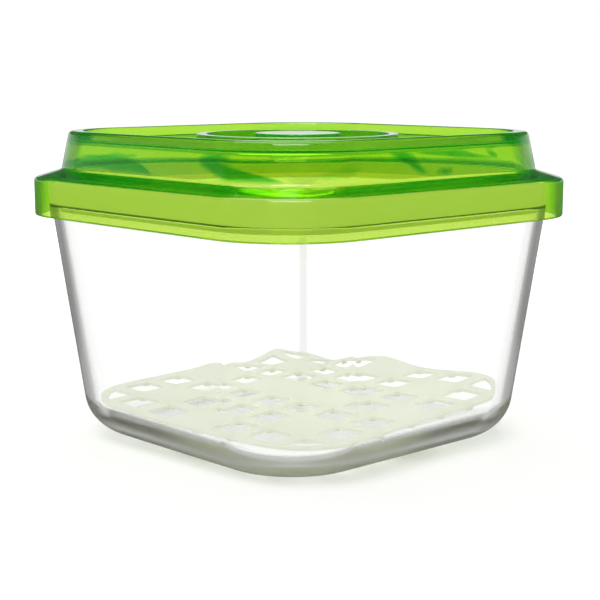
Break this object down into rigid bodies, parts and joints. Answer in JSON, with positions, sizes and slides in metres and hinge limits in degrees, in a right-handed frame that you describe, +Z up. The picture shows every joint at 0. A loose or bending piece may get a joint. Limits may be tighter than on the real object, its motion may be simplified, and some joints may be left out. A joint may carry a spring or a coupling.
{
  "type": "disinfectant jar",
  "caption": "Square tapered clear glass jar with rounded corners, a stepped see-through press-on lid with a soft seal, and a perforated lift-out mat that holds what is inside off the wet floor.",
  "frame": {"origin": "on the jar's vertical axis, at the level of the surface it stands on", "axes": "+Z up through the lid, +X and +Y square to two neighbouring sides"},
  "size_m": [0.1516, 0.1516, 0.1083],
  "materials": {
    "clear_glass": "clear pressed glass, polished",
    "green_plastic": "see-through green moulded plastic, glossy",
    "white_silicone": "soft white silicone, satin",
    "pale_soft_plastic": "frosted pale green flexible plastic"
  },
  "bodies": {
    "jar": {"glass_jar": "clear_glass"},
    "lid": {"lid_shell": "green_plastic", "lid_seal": "white_silicone"},
    "mat": {"drain_mat": "pale_soft_plastic"}
  },
  "joints": [
    {"name": "lid_lift", "type": "slide", "parent": "jar", "child": "lid", "axis": [0, 0, 1], "range_m": [0, 0.11]},
    {"name": "mat_lift", "type": "slide", "parent": "jar", "child": "mat", "axis": [0, 0, 1], "range_m": [0, 0.06]}
  ]
}
